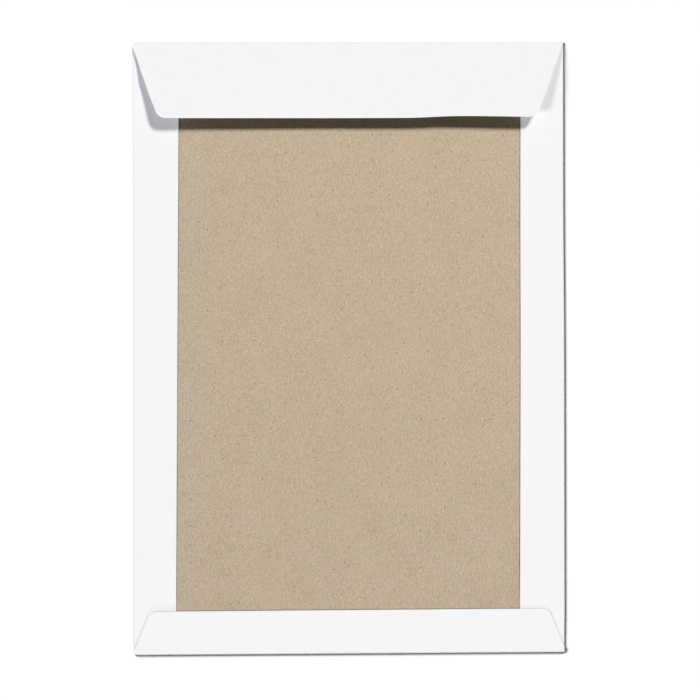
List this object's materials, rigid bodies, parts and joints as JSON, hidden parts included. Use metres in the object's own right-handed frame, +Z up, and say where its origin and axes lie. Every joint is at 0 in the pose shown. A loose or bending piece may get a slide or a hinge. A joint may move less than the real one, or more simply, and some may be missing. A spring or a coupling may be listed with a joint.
{
  "type": "board-backed envelope",
  "caption": "Flat white paper envelope with a stiff greyboard back, glued side seams and bottom flap, and a tapered closing flap with a covered seal strip inside.",
  "frame": {"origin": "under the middle of the envelope, on the surface that its paper front lies on", "axes": "+Z up out of the board side, +Y along the length towards the closing flap, +X to the right seen from the board side with the closing flap at the top"},
  "size_m": [0.229, 0.324, 0.0088],
  "materials": {
    "white_paper": "smooth uncoated white wove, matt",
    "greyboard": "unbleached recycled board, matt, with fine fibres and specks",
    "adhesive": "pale tacky adhesive film, glossy",
    "liner_paper": "release-coated paper, satin"
  },
  "bodies": {
    "root": {"paper_cover": "white_paper", "backing_board": "greyboard", "seal_strip": "adhesive", "release_liner": "liner_paper"}
  },
  "joints": []
}
